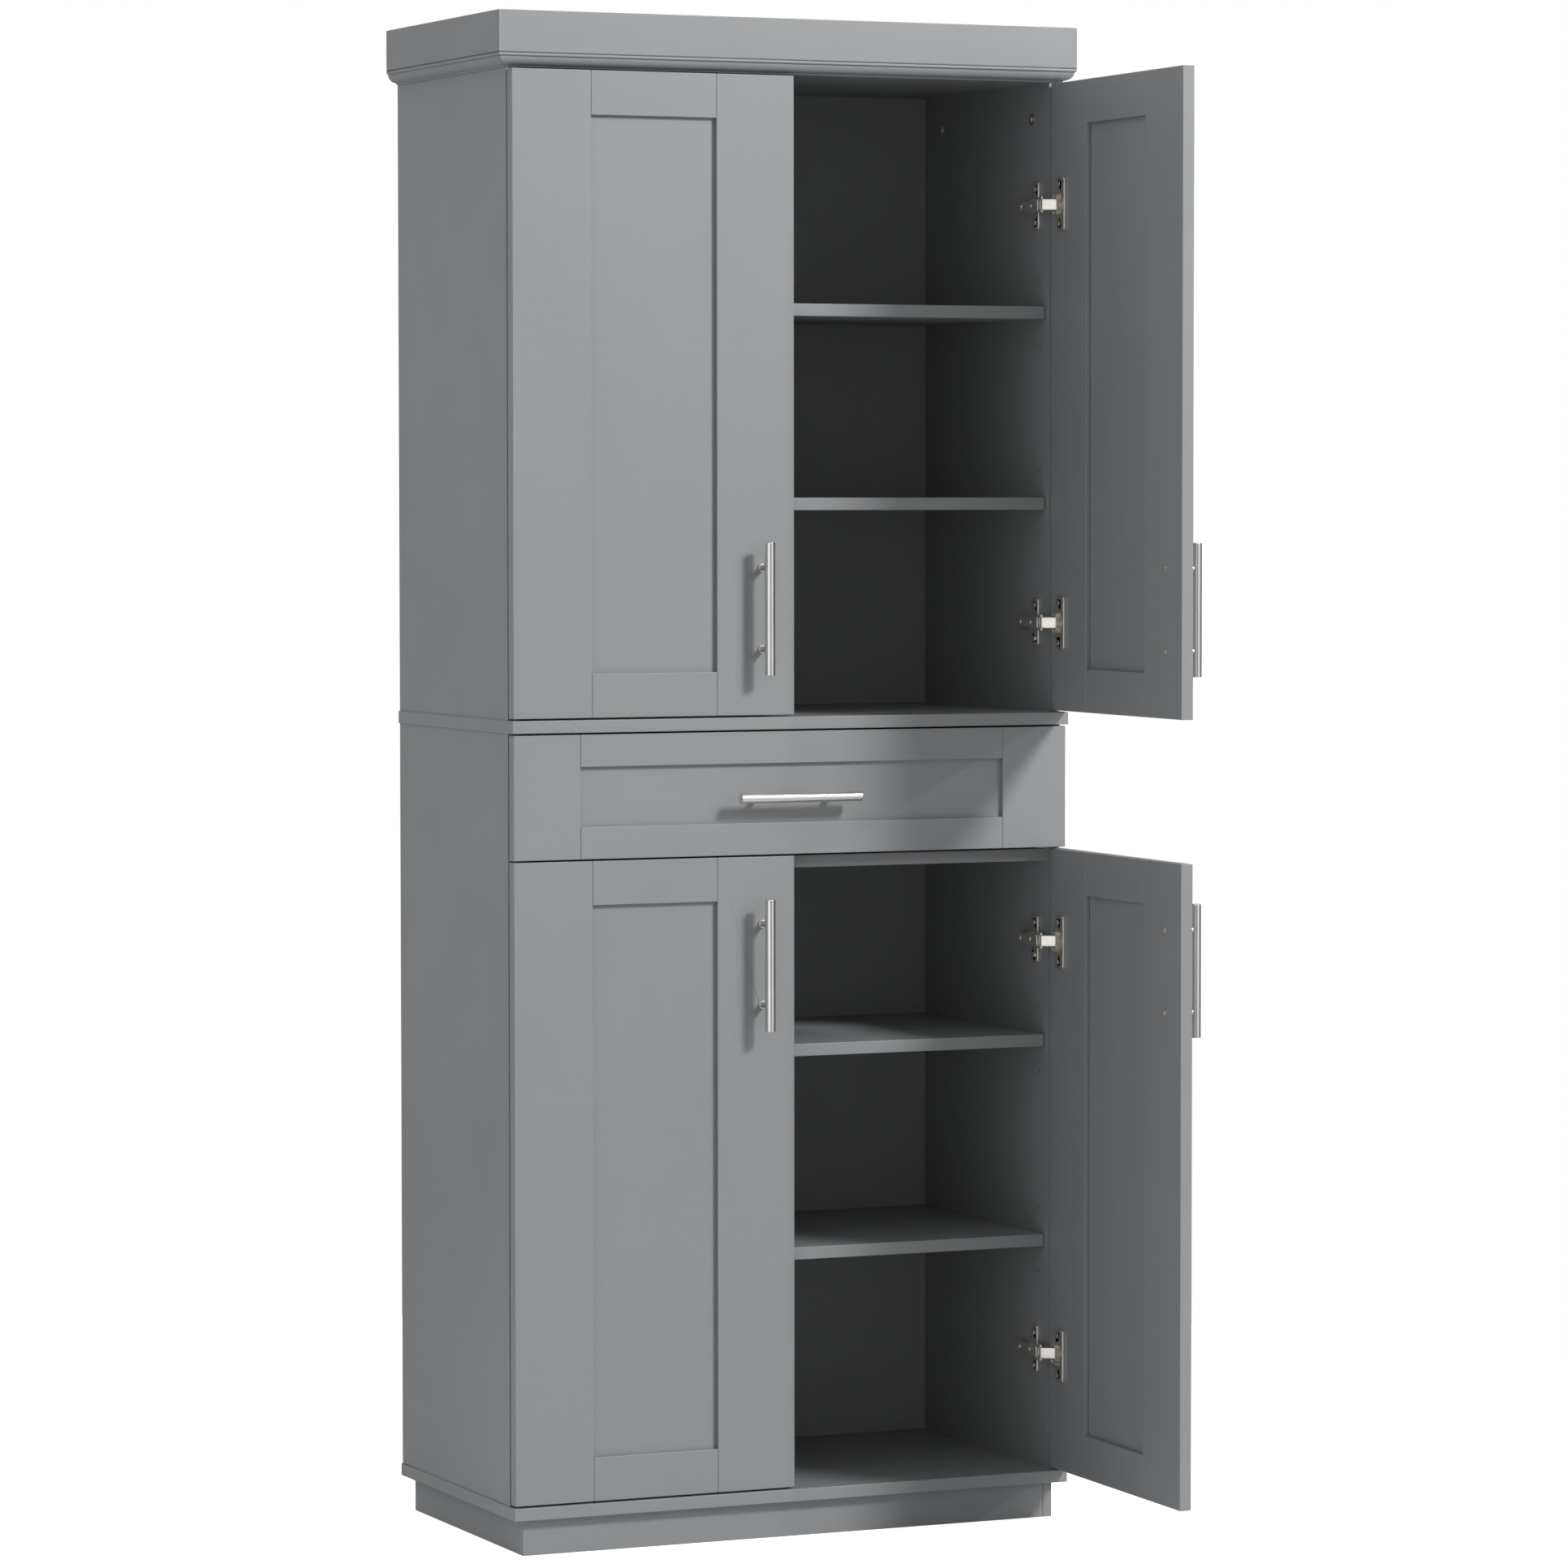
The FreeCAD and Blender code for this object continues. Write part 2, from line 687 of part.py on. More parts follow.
def hinge_arm():
    """Arm on the plate, with a taller nose, and a fork and rivet there where the link turns."""
    arm = body_named("HingeArm")
    base = "(board + plate_rib)"
    back = f"({base} + arm_thickness)"
    for rear, height in (("arm_rear", "arm_height"), ("nose_rear", "nose_height")):
        plan = sketch_on(arm, "XY_Plane")
        outline(plan, [
            (inward(base), forward(f"-{rear}")),
            (inward(back), forward(f"-{rear}")),
            (inward(back), forward("-arm_bend")),
            (inward("knuckle_in + knuckle_radius"), forward("0")),
            (inward("knuckle_in + knuckle_radius"), forward("knuckle_out")),
            (inward("knuckle_in - knuckle_radius"), forward("knuckle_out")),
            (inward("knuckle_in - knuckle_radius"), forward("0")),
            (inward(base), forward("-arm_bend")),
        ])
        feature(arm, "Pad", plan, height)
    nose = sketch_on(arm, "XY_Plane")
    circle(nose, (inward("knuckle_in"), forward("knuckle_out")), "knuckle_radius")
    feature(arm, "Pad", nose, "nose_height")
    fork = sketch_on(arm, "XY_Plane")
    outline(fork, [
        (inward("knuckle_in - 2 * knuckle_radius"), forward("knuckle_out + 2 * knuckle_radius")),
        (inward("knuckle_in + 2 * knuckle_radius"), forward("knuckle_out + 2 * knuckle_radius")),
        (inward("knuckle_in + 2 * knuckle_radius"), forward("knuckle_out - fork_reach")),
        (inward("knuckle_in - 2 * knuckle_radius"), forward("knuckle_out - fork_reach")),
    ])
    feature(arm, "Pocket", fork, "fork_gap")
    rivet = sketch_on(arm, "XY_Plane")
    circle(rivet, (inward("knuckle_in"), forward("knuckle_out")), "rivet_radius")
    feature(arm, "Pad", rivet, "rivet_length")
    return arm


def hinge_link():
    """Link that turns on the arm's rivet: its flat front reaches into the cup and hooks back."""
    corner_x = -value("carcass_width") / 2
    corner_y = value("plinth_inset") + value("plinth_board") / 2 - value("carcass_depth")
    height = value("link_height")

    def point(name):
        return FreeCAD.Vector(corner_x + value(name + "_in"), corner_y - value(name + "_out"), -height / 2)

    up = FreeCAD.Vector(0, 0, height)
    eye_centre = point("knuckle")
    middle = Part.makePolygon([eye_centre, point("link_neck"), point("link_bend"), point("link_tip")])
    strip = Part.Face(middle.makeOffset2D(value("link_thickness") / 2)).extrude(up)
    eye = Part.makeCylinder(value("link_eye"), height, eye_centre)
    bore = Part.makeCylinder(value("link_bore"), height, eye_centre)
    made = doc.addObject("Part::Feature", "HingeLink")
    made.Shape = strip.fuse(eye).cut(bore).removeSplitter()
    return made


def hinge_cup():
    """Cup in the door's back, with its rim, two wings, a mouth for the link and two screws."""
    centre = f"({DOOR_LEFT} + cup_inset)"
    shell = rod("CupShell", "cup_radius", "cup_depth", (centre, DOOR_BACK, "0"), "-Y")
    rim = rod("CupRim", "cup_flange", "flange_thickness", (centre, DOOR_BACK, "0"), "+Y")
    wing = box(
        "CupWing", ("wing_width", "wing_thickness", "wing_length"),
        (f"{DOOR_LEFT} + wing_inset", DOOR_BACK, "-wing_length / 2"))
    wing = rounded_along("CupWingRound", wing, "+Y", "wing_round")
    bore = rod(
        "CupBore", "cup_radius - cup_wall", "cup_depth - cup_wall + wing_thickness",
        (centre, f"{DOOR_BACK} + wing_thickness", "0"), "-Y")
    slot = box(
        "CupSlot", ("2 * cup_radius", "cup_depth + wing_thickness", "mouth_height"),
        (f"{centre} - cup_radius", f"{DOOR_BACK} - cup_depth", "-mouth_height / 2"))
    mouth = doc.addObject("Part::MultiCommon", "CupMouth")
    mouth.Shapes = [bore, slot]
    tools = [mouth]
    screws = []
    for side in (-1, 1):
        level = f"{side} * cup_screw_pitch / 2"
        place = (f"{DOOR_LEFT} + cup_screw_inset", f"{DOOR_BACK} - cup_screw_hold", level)
        length = "cup_screw_hold + wing_thickness"
        tools.append(rod("CupScrewHole", "cup_screw_radius", length, place, "+Y"))
        shank = rod("CupShank", "cup_screw_radius", length, place, "+Y")
        head = rod(
            "CupScrewHead", "cup_screw_head", "head_thickness / 2",
            (f"{DOOR_LEFT} + cup_screw_inset", f"{DOOR_BACK} + wing_thickness", level), "+Y")
        screws.append(joined("CupScrew", [shank, head]))
    cup = carved("Cup", joined("CupBlank", [shell, rim, wing]), tools)
    return grouped("CupAndScrews", [cup] + screws)


# ---- doors and handles -------------------------------------------------------------------

def rail_piece(name, corner, inner, height, groove_level):
    """A rail between two stiles: stub tenons at its ends, and a groove for the panel."""
    x, z = corner
    blank = box(name + "Blank", (inner, "door_thickness", height), (x, DOOR_FACE, z))
    tenon = box(
        name + "Tenon", (f"{inner} + 2 * tongue", "panel", height),
        (f"{x} - tongue", f"{DOOR_FACE} + recess", z))
    groove = box(
        name + "Groove", (f"{inner} + 2 * tongue", "panel", "tongue"),
        (f"{x} - tongue", f"{DOOR_FACE} + recess", groove_level))
    return carved(name, joined(name + "Solid", [blank, tenon]), [groove])


def front_frame(name, left, width, bottom, height, stile, rail, holes):
    """Stiles, rails and panel of one framed front; holes are tools for either stile."""
    inner = f"({width} - 2 * {stile})"
    inner_left = f"({left} + {stile})"
    inner_right = f"({left} + {width} - {stile})"
    stiles = []
    for place, groove_at, tools in (
            (left, f"{inner_left} - tongue", holes[0]), (inner_right, inner_right, holes[1])):
        blank = box(name + "Stile", (stile, "door_thickness", height), (place, DOOR_FACE, bottom))
        groove = box(
            name + "StileGroove", ("tongue", "panel", height), (groove_at, f"{DOOR_FACE} + recess", bottom))
        stiles.append(carved(name + "StileCut", blank, [groove] + tools))
    top_rail = f"({bottom} + {height} - {rail})"
    low_rail = f"({bottom} + {rail})"
    rails = [
        rail_piece(name + "LowRail", (inner_left, bottom), inner, rail, f"{low_rail} - tongue"),
        rail_piece(name + "TopRail", (inner_left, top_rail), inner, rail, top_rail),
    ]
    panel = box(
        name + "Panel", (f"{inner} + 2 * tongue", "panel", f"{height} - 2 * {rail} + 2 * tongue"),
        (f"{inner_left} - tongue", f"{DOOR_FACE} + recess", f"{low_rail} - tongue"))
    return grouped(name + "Stiles", stiles), grouped(name + "Rails", rails), panel


def handle(name, centre, surface, thickness, along):
    """T-bar handle with two posts, fixed by a screw through the wood into each post."""
    x, z = centre
    half = {"+Z": (x, f"{z} - bar_length / 2"), "+X": (f"{x} - bar_length / 2", z)}[along]
    axis = f"({surface} - bar_standoff)"
    bar = rod(name + "Bar", "bar_radius", "bar_length", (half[0], axis, half[1]), along)
    bar_ends = doc.addObject("Part::Chamfer", name + "BarEnds")
    bar_ends.Base = bar
    bar_ends.Edges = [(number, value("bar_end"), value("bar_end")) for number in (1, 3)]
    posts = []
    bores = []
    screws = []
    for side in (-1, 1):
        step = f"{side} * post_pitch / 2"
        px, pz = (x, f"{z} + {step}") if along == "+Z" else (f"{x} + {step}", z)
        inside = f"({surface} + {thickness})"
        posts.append(rod(name + "Post", "post_radius", "bar_standoff", (px, surface, pz), "-Y"))
        posts.append(rod(name + "Foot", "foot_radius", "foot_thickness", (px, surface, pz), "-Y"))
        bores.append(rod(name + "Bore", "handle_screw", "handle_screw_hold", (px, surface, pz), "-Y"))
        length = f"handle_screw_hold + {thickness}"
        shank = rod(name + "Shank", "handle_screw", length, (px, inside, pz), "-Y")
        head = rod(name + "Head", "handle_screw_head", "head_thickness", (px, inside, pz), "+Y")
        screws.append(joined(name + "Screw", [shank, head]))
    bent = carved(name + "Grip", joined(name + "Blank", [bar_ends] + posts), bores)
    return grouped(name, [bent] + screws)


def handle_holes(name, centre, surface, thickness, along):
    """Holes in the wood for a handle's two screws."""
    x, z = centre
    holes = []
    for side in (-1, 1):
        step = f"{side} * post_pitch / 2"
        px, pz = (x, f"{z} + {step}") if along == "+Z" else (f"{x} + {step}", z)
        holes.append(rod(name, "handle_screw", thickness, (px, surface, pz), "+Y"))
    return holes


def opened(name, left):
    """The right-hand twin of a shut left-hand door piece, turned to its rest angle."""
    made = mirrored(name, left)
    pivot = FreeCAD.Vector(
        value("carcass_width") / 2 - value("pivot_in"),
        value("plinth_inset") + value("plinth_board") / 2 - value("carcass_depth") - value("pivot_out"), 0)
    turn = FreeCAD.Rotation(DIRECTIONS["+Z"], value("rest_angle"))
    made.Placement = FreeCAD.Placement(FreeCAD.Vector(), turn, pivot)
    return made


def build_doors(section, bottom, hinges, handle_level, cup, link):
    """The left door of one section and its twin on the right."""
    name = section.title() + "Door"
    handle_centre = ("-handle_from_middle", handle_level)
    cup_holes = []
    for hinge in hinges:
        centre = f"({DOOR_LEFT} + cup_inset)"
        cup_holes.append(rod(name + "CupHole", "cup_radius", "cup_depth", (centre, DOOR_BACK, hinge), "-Y"))
        for side in (-1, 1):
            level = f"{hinge} + {side} * cup_screw_pitch / 2"
            cup_holes.append(rod(
                name + "ScrewHole", "cup_screw_radius", "cup_screw_hold",
                (f"{DOOR_LEFT} + cup_screw_inset", DOOR_BACK, level), "-Y"))
    holes = (cup_holes, handle_holes(name + "HandleHole", handle_centre, DOOR_FACE, "door_thickness", "+Z"))
    stiles, rails, panel = front_frame(
        name, DOOR_LEFT, DOOR_WIDTH, bottom, "door_height", "stile", "rail", holes)
    pieces = {
        "stiles": stiles,
        "rails": rails,
        "panel": panel,
        "handle": handle(name + "Handle", handle_centre, DOOR_FACE, "door_thickness", "+Z"),
        "hinge_cups": at_heights(name + "Cups", cup, hinges),
    }
    for piece, thing in pieces.items():
        node(f"{section}_left_{piece}", thing)
        node(f"{section}_right_{piece}", opened(name + "Opened", thing))
    links = node(f"{section}_left_hinge_links", at_heights(name + "Links", link, hinges))
    node(f"{section}_right_hinge_links", swung(name + "Swung", links))


def swung(name, links):
    """The right-hand links, turned on their rivets as far as their open doors turn them."""
    made = mirrored(name, links)
    pivot = FreeCAD.Vector(
        value("carcass_width") / 2 - value("knuckle_in"),
        value("plinth_inset") + value("plinth_board") / 2 - value("carcass_depth") - value("knuckle_out"), 0)
    turn = FreeCAD.Rotation(DIRECTIONS["+Z"], -value("link_ratio") * value("rest_angle"))
    made.Placement = FreeCAD.Placement(FreeCAD.Vector(), turn, pivot)
    return made


# ---- drawer ------------------------------------------------------------------------------

def build_drawer():
    stiles, rails, panel = front_frame(
        "DrawerFront", DOOR_LEFT, f"(-2 * {DOOR_LEFT})", DRAWER_FACE, "drawer_face_height",
        "drawer_stile", "drawer_rail", ([], []))
    node("drawer_stiles", stiles)
    node("drawer_rails", rails)
    centre = ("0", f"({DRAWER_FACE} + drawer_face_height / 2 - drawer_handle_drop)")
    surface = f"({DOOR_FACE} + recess)"
    holes = handle_holes("DrawerHandleHole", centre, surface, "panel", "+X")
    node("drawer_panel", carved("DrawerPanel", panel, holes))
    node("drawer_handle", handle("DrawerHandle", centre, surface, "panel", "+X"))

    outer = f"({SIDE_IN} - runner_space)"
    inner = f"({outer} - drawer_wall)"
    floor = "(drawer_level + drawer_floor_up)"
    end = f"({DOOR_BACK} + drawer_length)"
    side = box(
        "DrawerSide", ("drawer_wall", "drawer_length", "drawer_wall_height"),
        (f"-{outer}", DOOR_BACK, "drawer_level"))
    groove = box(
        "DrawerSideGroove", ("housing", "drawer_length - drawer_wall + housing", "back_board"),
        (f"-{inner} - housing", DOOR_BACK, floor))
    node("drawer_sides", both_sides("DrawerSides", carved("DrawerSideCut", side, [groove])))
    back = box(
        "DrawerBack", (f"2 * {inner}", "drawer_wall", "drawer_wall_height"),
        (f"-{inner}", f"{end} - drawer_wall", "drawer_level"))
    back_groove = box(
        "DrawerBackGroove", (f"2 * {inner}", "housing", "back_board"),
        (f"-{inner}", f"{end} - drawer_wall", floor))
    node("drawer_back", carved("DrawerBackCut", back, [back_groove]))
    node("drawer_bottom", box(
        "DrawerBottom",
        (f"2 * ({inner} + housing)", "drawer_length - drawer_wall + housing", "back_board"),
        (f"-{inner} - housing", DOOR_BACK, floor)))


def wheel(name, setback):
    """A nylon wheel with a crowned rim, bored for its axle."""
    disc = rod(name + "Disc", "wheel_radius", "wheel_width", (WHEEL_LEFT, setback, WHEEL_AXIS), "+X")
    rim = doc.addObject("Part::Fillet", name + "Rim")
    rim.Base = disc
    rim.Edges = [(number, value("wheel_edge"), value("wheel_edge")) for number in (1, 3)]
    bore = rod(name + "Bore", "wheel_bore", "wheel_width", (WHEEL_LEFT, setback, WHEEL_AXIS), "+X")
    return carved(name, rim, [bore])


def runner(name, section, start):
    """A rolled steel runner from its section, which runs to the front from its rear end."""
    body = body_named(name)
    profile = sketch_on(body, "XZ_Plane", f"-({start})")
    outline(profile, section)
    feature(body, "Pad", profile, "runner_length", midplane=False)
    return body


def build_runners():
    floor = f"({DECK_TOP} + runner_lift)"
    wall = f"-{SIDE_IN}"
    sheet_in = f"{wall} + runner_sheet"
    front_axle = f"({FRONT} + front_wheel_setback)"
    rear_end = f"({FRONT} + runner_setback + runner_length)"
    rear_axle = f"({rear_end} - rear_wheel_setback)"
    top = f"{floor} + runner_web"
    channel = runner("CabinetRunner", [
        (wall, floor),
        (f"{wall} + runner_flange", floor),
        (f"{wall} + runner_flange", f"{floor} + runner_sheet"),
        (sheet_in, f"{floor} + runner_sheet"),
        (sheet_in, f"{top} - runner_sheet"),
        (f"{wall} + runner_lip", f"{top} - runner_sheet"),
        (f"{wall} + runner_lip", top),
        (wall, top),
    ], rear_end)
    wheel_right = f"({WHEEL_LEFT} + wheel_width + wheel_gap)"
    head_end = f"{wheel_right} + axle_head_thickness"
    axle = rod(
        "FrontAxle", "axle_radius", f"{head_end} - ({sheet_in})", (sheet_in, front_axle, WHEEL_AXIS), "+X")
    head = rod(
        "FrontAxleHead", "axle_head", "axle_head_thickness", (wheel_right, front_axle, WHEEL_AXIS), "+X")
    node("cabinet_runners", both_sides("CabinetRunners", joined("CabinetRunnerLeft", [channel, axle, head])))
    node("cabinet_wheels", both_sides("CabinetWheels", wheel("FrontWheel", front_axle)))

    outer = f"(runner_space - {SIDE_IN})"
    under = "(drawer_level - runner_sheet)"
    track = runner("DrawerTrack", [
        (f"{outer} - track_out", under),
        (f"{outer} + track_in", under),
        (f"{outer} + track_in", "drawer_level"),
        (outer, "drawer_level"),
        (outer, "drawer_level + track_web"),
        (f"{outer} - runner_sheet", "drawer_level + track_web"),
        (f"{outer} - runner_sheet", "drawer_level"),
        (f"{outer} - track_out", "drawer_level"),
    ], rear_end)
    tab_low = f"({WHEEL_AXIS} - wheel_radius)"
    tab = box(
        "WheelTab", ("runner_sheet", "wheel_tab", f"drawer_level - {tab_low}"),
        (f"{outer} - runner_sheet", f"{rear_axle} - wheel_tab / 2", tab_low))
    head_left = f"({WHEEL_LEFT} - wheel_gap - axle_head_thickness)"
    rear = rod(
        "RearAxle", "axle_radius", f"{outer} - runner_sheet - {head_left}",
        (head_left, rear_axle, WHEEL_AXIS), "+X")
    rear_head = rod(
        "RearAxleHead", "axle_head", "axle_head_thickness", (head_left, rear_axle, WHEEL_AXIS), "+X")
    node("drawer_runners", both_sides(
        "DrawerRunners", joined("DrawerRunnerLeft", [track, tab, rear, rear_head])))
    node("drawer_wheels", both_sides("DrawerWheels", wheel("RearWheel", rear_axle)))


# ---- the whole cabinet -------------------------------------------------------------------

build_plinth()
build_horizontal_boards()
build_sides()
build_backs()
build_fasteners()
build_crown()
build_shelves()
all_hinges = UPPER_HINGES + LOWER_HINGES
node("hinge_plates", both_sides("HingePlates", at_heights("HingePlatesLeft", hinge_plate(), all_hinges)))
node("hinge_arms", both_sides("HingeArms", at_heights("HingeArmsLeft", hinge_arm(), all_hinges)))
door_cup = hinge_cup()
door_link = hinge_link()
upper_handle = f"({UPPER_DOOR} + handle_above_upper)"
lower_handle = f"({LOWER_DOOR} + door_height - handle_below_lower)"
build_doors("upper", UPPER_DOOR, UPPER_HINGES, upper_handle, door_cup, door_link)
build_doors("lower", LOWER_DOOR, LOWER_HINGES, lower_handle, door_cup, door_link)
build_drawer()
build_runners()
doc.recompute()

failed = [thing.Name for thing in doc.Objects if {"Invalid", "Error"} & set(thing.State)]
if failed:
    raise RuntimeError(f"objects that did not compute: {failed}")
for thing in nodes:
    if thing.Shape.isNull() or not thing.Shape.isValid() or not thing.Shape.Solids:
        raise RuntimeError(f"{thing.Label} is not a sound solid")

os.makedirs("parts", exist_ok=True)
for thing in nodes:
    thing.Shape.exportStep(f"parts/{thing.Label}.step")
print(len(nodes), "sub-parts,", sum(len(thing.Shape.Solids) for thing in nodes), "solids")
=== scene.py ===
"""Pantry cabinet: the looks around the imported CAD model, in metres and in its frame.

x is to the right seen from the front, y to the back, z up, and the origin is on the floor under
the rear plinth board. Every CAD node keeps its shape. Its edges get a fine rounding, apart from
those of the side panels, and each finish is a material made from noise in the piece's own
coordinates. Screw faces with their driver recesses and the hinges' adjusting screws are small
meshes that ride with the nodes that they belong to.
"""

import json
import math

import bmesh
import bpy
from mathutils import Matrix, Vector

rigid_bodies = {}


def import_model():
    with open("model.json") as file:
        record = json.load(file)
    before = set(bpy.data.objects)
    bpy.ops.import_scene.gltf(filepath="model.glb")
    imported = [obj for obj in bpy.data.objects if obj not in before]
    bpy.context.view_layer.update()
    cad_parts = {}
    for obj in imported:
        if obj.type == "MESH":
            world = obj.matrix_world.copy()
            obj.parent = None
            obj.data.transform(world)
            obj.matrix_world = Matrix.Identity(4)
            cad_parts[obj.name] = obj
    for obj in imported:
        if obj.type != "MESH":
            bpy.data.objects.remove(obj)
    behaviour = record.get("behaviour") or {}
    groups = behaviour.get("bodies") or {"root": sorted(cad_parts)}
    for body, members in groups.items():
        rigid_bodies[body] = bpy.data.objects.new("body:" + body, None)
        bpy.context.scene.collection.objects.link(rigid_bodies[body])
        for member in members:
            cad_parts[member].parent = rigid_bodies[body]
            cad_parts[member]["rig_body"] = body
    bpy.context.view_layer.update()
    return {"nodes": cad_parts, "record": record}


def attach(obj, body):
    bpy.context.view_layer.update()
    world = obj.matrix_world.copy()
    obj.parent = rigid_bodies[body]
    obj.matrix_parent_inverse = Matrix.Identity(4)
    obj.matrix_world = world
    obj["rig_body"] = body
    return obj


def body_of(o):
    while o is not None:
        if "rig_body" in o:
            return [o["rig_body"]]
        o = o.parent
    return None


MM = 0.001
TOUCHING = 0.001 * MM       # corners this near to each other are one

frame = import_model()
nodes = frame["nodes"]


# ---- camera, light and floor ----------------------------------------------------------------

CAMERA_PLACE = (-2.98053, -7.04136, 1.24815)
CAMERA_YAW = 0.417934       # radians, from straight ahead towards the right
CAMERA_PITCH = -0.047844    # radians, slightly down
CAMERA_ROLL = 0.000735
SENSOR = 36.0               # millimetres, as is the lens
LENS = 141.989
CAMERA_RANGE = 100.0

KEY_AIM = Vector((0.0, -0.36, 1.10))
KEY_FROM = Vector((0.480, -0.706, 0.519))   # from the aimed place towards the lamp
KEY_DISTANCE = 5.6
KEY_WIDTH = 1.00
KEY_POWER = 264.0
SIDE_SUN_FROM = Vector((0.62, -0.62, 0.33))
SIDE_SUN_STRENGTH = 0.25
SIDE_SUN_ANGLE = 0.02

# The studio's brightness by direction, for matt surfaces and for mirror reflections.
WHITE = (1.0, 1.0, 1.0, 1.0)
HORIZON = 0.2               # the matt light changes from below to above within this of level
MATT_ABOVE = 0.52
MATT_BELOW = 0.60
MATT_FILL = 0.56            # added from behind the object's left side
MATT_FILL_TOWARDS = (-0.70, 0.71, 0.0)
MATT_FILL_SPREAD = (0.2, 0.9)
GLOSS_ROOM = 0.25
GLOSS_TOP = 0.95            # added overhead
GLOSS_TOP_SPREAD = (0.35, 0.8)
GLOSS_BEHIND = -0.13        # added towards the back
GLOSS_BEHIND_SPREAD = (-0.1, 0.5)
# Two soft upright lamps, with a dark gap between them that the long bars mirror.
GLOSS_LAMPS = (
    ((-0.766, -0.643, 0.0), 0.820, 0.985, 1.00),    # towards, falls off from and to, brightness
    ((0.500, -0.866, 0.0), 0.860, 0.985, 0.70),
)

FLOOR_RADIUS = 1.7
FLOOR_SIDES = 96
FLOOR_SEEN = 0.82           # the floor's shade for the camera, and the one that lights the object
FLOOR_GIVEN = 0.74
FLOOR_LIFT = 0.88           # its own glow for the camera, which brings it up to the studio's white
FLOOR_ROUGHNESS = 0.6


def new_object(name, data):
    made = bpy.data.objects.new(name, data)
    bpy.context.scene.collection.objects.link(made)
    return made


def add_camera():
    """The photograph's viewing place, direction and lens."""
    data = bpy.data.cameras.new("camera")
    data.lens = LENS
    data.sensor_width = SENSOR
    data.clip_end = CAMERA_RANGE
    camera = new_object("camera", data)
    heading = Matrix.Rotation(-CAMERA_YAW, 4, "Z")
    tilt = Matrix.Rotation(math.pi / 2 + CAMERA_PITCH, 4, "X")
    roll = Matrix.Rotation(-CAMERA_ROLL, 4, "Z")
    camera.matrix_world = Matrix.Translation(CAMERA_PLACE) @ heading @ tilt @ roll
    bpy.context.scene.camera = camera


def add_lights():
    """A soft key lamp high on the right, and a weak sun lower down on the same side."""
    key_data = bpy.data.lights.new("key", "AREA")
    key_data.shape = "DISK"
    key_data.size = KEY_WIDTH
    key_data.energy = KEY_POWER
    key = new_object("key", key_data)
    key.location = KEY_AIM + KEY_DISTANCE * KEY_FROM.normalized()
    key.rotation_euler = KEY_FROM.to_track_quat("Z", "Y").to_euler()
    side_data = bpy.data.lights.new("side", "SUN")
    side_data.energy = SIDE_SUN_STRENGTH
    side_data.angle = SIDE_SUN_ANGLE
    side = new_object("side", side_data)
    side.rotation_euler = SIDE_SUN_FROM.to_track_quat("Z", "Y").to_euler()


class Web:
    """Short calls for the few nodes that the studio and the floor need."""

    def __init__(self, tree):
        self.tree = tree

    def node(self, kind, **values):
        """A new node with its inputs set by name, where _ stands for a space."""
        made = self.tree.nodes.new(kind)
        for name, value in values.items():
            made.inputs[name.replace("_", " ")].default_value = value
        return made

    def step(self, value, start, end, low, high):
        """Goes smoothly from low to high as value goes from start to end."""
        made = self.node(
            "ShaderNodeMapRange", From_Min=start, From_Max=end, To_Min=low, To_Max=high)
        made.interpolation_type = "SMOOTHSTEP"
        self.tree.links.new(value, made.inputs["Value"])
        return made.outputs[0]

    def sum(self, *values):
        total = values[0]
        for value in values[1:]:
            made = self.tree.nodes.new("ShaderNodeMath")
            self.tree.links.new(total, made.inputs[0])
            self.tree.links.new(value, made.inputs[1])
            total = made.outputs[0]
        return total

    def towards(self, direction, way):
        """How far the direction agrees with a given way: 1 where it is the same."""
        made = self.tree.nodes.new("ShaderNodeVectorMath")
        made.operation = "DOT_PRODUCT"
        made.inputs[1].default_value = way
        self.tree.links.new(direction, made.inputs[0])
        return made.outputs["Value"]

    def choose(self, share, first, second):
        """The first shader, or the second one where share is 1."""
        made = self.tree.nodes.new("ShaderNodeMixShader")
        self.tree.links.new(share, made.inputs["Fac"])
        self.tree.links.new(first, made.inputs[1])
        self.tree.links.new(second, made.inputs[2])
        return made.outputs[0]

    def glow(self, strength):
        """A white background of the given strength, or of 1 where that is None."""
        made = self.node("ShaderNodeBackground", Color=WHITE)
        if strength is not None:
            self.tree.links.new(strength, made.inputs["Strength"])
        return made.outputs[0]


